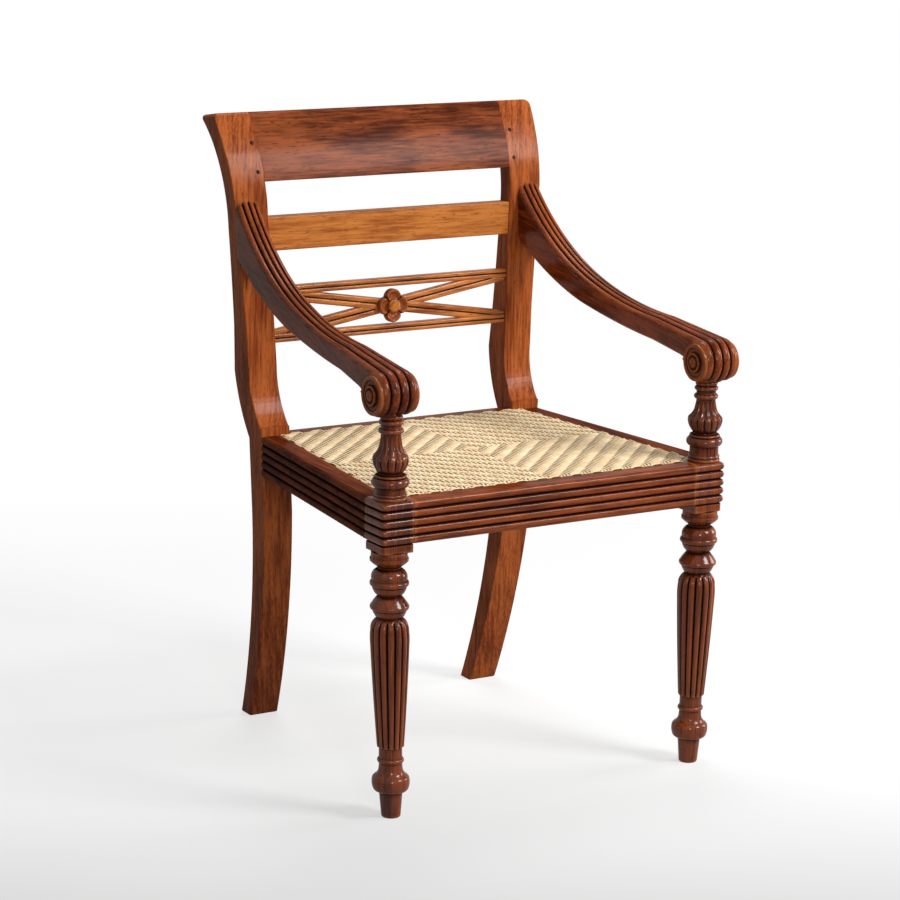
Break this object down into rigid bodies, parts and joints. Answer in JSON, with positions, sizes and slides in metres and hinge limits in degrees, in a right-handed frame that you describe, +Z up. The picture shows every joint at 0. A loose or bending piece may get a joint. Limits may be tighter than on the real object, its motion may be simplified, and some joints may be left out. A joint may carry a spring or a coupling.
{
  "type": "open armchair",
  "caption": "Open armchair with scrolled arms on turned supports, reeded rails and legs, sabre rear legs, a crossed-bar back and a woven rattan seat.",
  "frame": {"origin": "middle of the bounding box's bottom, on the floor under the chair", "axes": "+Z up, the chair faces -Y, +X is on the right as seen from the front"},
  "size_m": [0.577, 0.575, 0.899],
  "materials": {
    "teak": "glossy reddish brown varnish",
    "teak_dark": "glossy dark brown varnish",
    "teak_light": "glossy golden brown varnish",
    "hardwood": "plain sanded wood",
    "rattan": "matt woven strands",
    "steel": "plain"
  },
  "bodies": {
    "root": {"arm_left": "teak", "arm_right": "teak", "arm_screw_plugs": "teak", "arm_screws": "steel", "arm_support_left": "teak", "arm_support_right": "teak", "back_post_left": "teak", "back_post_right": "teak", "corner_block_front_left": "hardwood", "corner_block_front_right": "hardwood", "corner_block_rear_left": "hardwood", "corner_block_rear_right": "hardwood", "corner_block_screws": "steel", "crest_pegs": "teak", "crest_rail": "teak_dark", "front_leg_left": "teak", "front_leg_right": "teak", "front_seat_rail": "teak", "lattice_bar_falling": "teak", "lattice_bar_rising": "teak", "lattice_bottom_rail": "teak", "lattice_top_rail": "teak", "middle_rail": "teak_light", "rear_seat_rail": "teak", "rosette": "teak", "rosette_boss": "teak", "seat_frame_screws": "steel", "seat_slat_front": "hardwood", "seat_slat_left": "hardwood", "seat_slat_rear": "hardwood", "seat_slat_right": "hardwood", "side_rail_left": "teak", "side_rail_right": "teak", "woven_seat": "rattan"}
  },
  "joints": []
}
